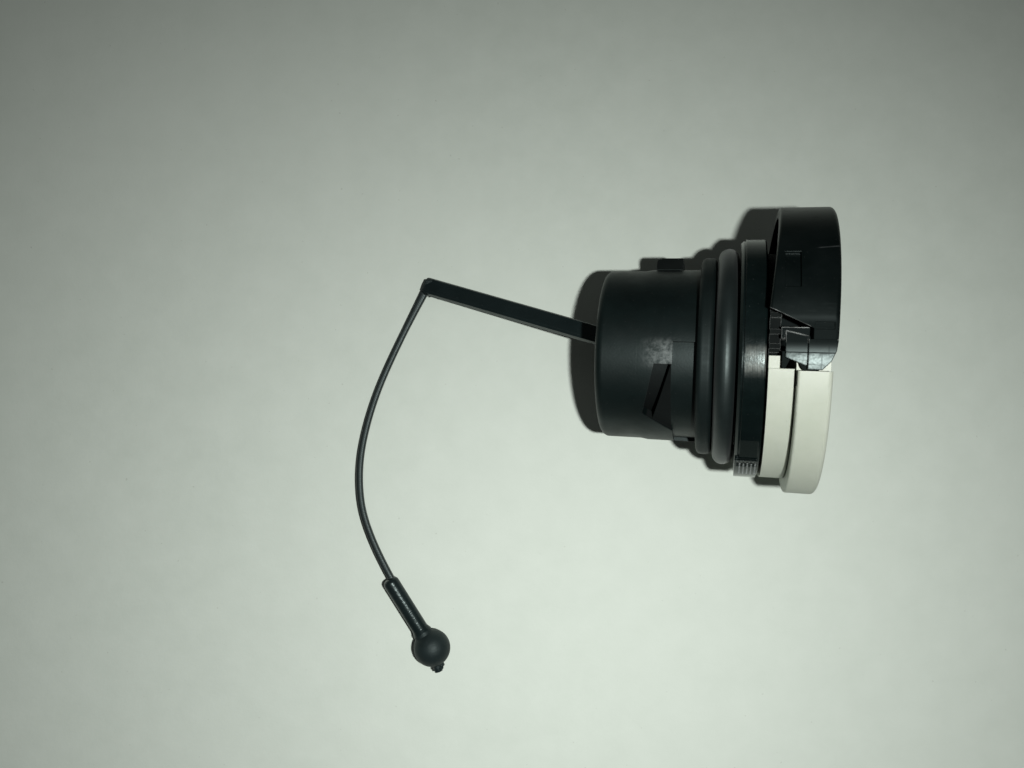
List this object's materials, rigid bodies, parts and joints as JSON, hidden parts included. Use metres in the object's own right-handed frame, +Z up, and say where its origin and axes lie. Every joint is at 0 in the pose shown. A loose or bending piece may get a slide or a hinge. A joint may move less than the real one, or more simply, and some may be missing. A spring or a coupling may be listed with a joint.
{
  "type": "fuel filler cap",
  "caption": "Quarter-turn fuel tank cap lying on its side: black plug with O-ring, half black, half white head with fold-up grip, and captive tether.",
  "frame": {"origin": "on the table under the middle of the cap and its stiff tether arm, without the flexible strap", "axes": "+Z up from the table the cap lies on, +X along the table from the plug's open end to the head, +Y to the black half of the head; the cap's own axis rises towards +X"},
  "size_m": [0.0815, 0.082, 0.0422],
  "materials": {
    "plug_black": "matte",
    "shell_black": "gloss",
    "grip_white": "satin",
    "seal_rubber": "satin",
    "rotor_grey": "satin",
    "tether_black": "satin",
    "steel": "satin"
  },
  "bodies": {
    "plug": {"plug_body": "plug_black", "seal_ring": "seal_rubber"},
    "head": {"head_hub": "plug_black", "head_shell": "shell_black", "seat_cover": "grip_white", "lock_rotor": "rotor_grey", "rotor_screws": "steel", "hub_seal": "seal_rubber", "spring_washer": "steel", "grip_spring": "steel", "hinge_pin": "steel"},
    "grip": {"flip_grip": "grip_white"},
    "tether": {"tether_arm": "tether_black", "tether_strap": "tether_black", "tether_anchor": "tether_black"}
  },
  "joints": [
    {"name": "head_turn", "type": "hinge", "parent": "plug", "child": "head", "pos_m": [0.01183, -0.00122, 0.01685], "axis": [0.9671, 0, 0.2545], "range_deg": [0, 90]},
    {"name": "grip_flip", "type": "hinge", "parent": "head", "child": "grip", "pos_m": [0.02721, -0.00122, 0.0209], "axis": [-0.254, -0.0616, 0.9652], "range_deg": [0, 90]},
    {"name": "tether_swivel", "type": "hinge", "parent": "head", "child": "tether", "pos_m": [0.00922, -0.00122, 0.01616], "axis": [0.9671, 0, 0.2545], "continuous": true}
  ]
}
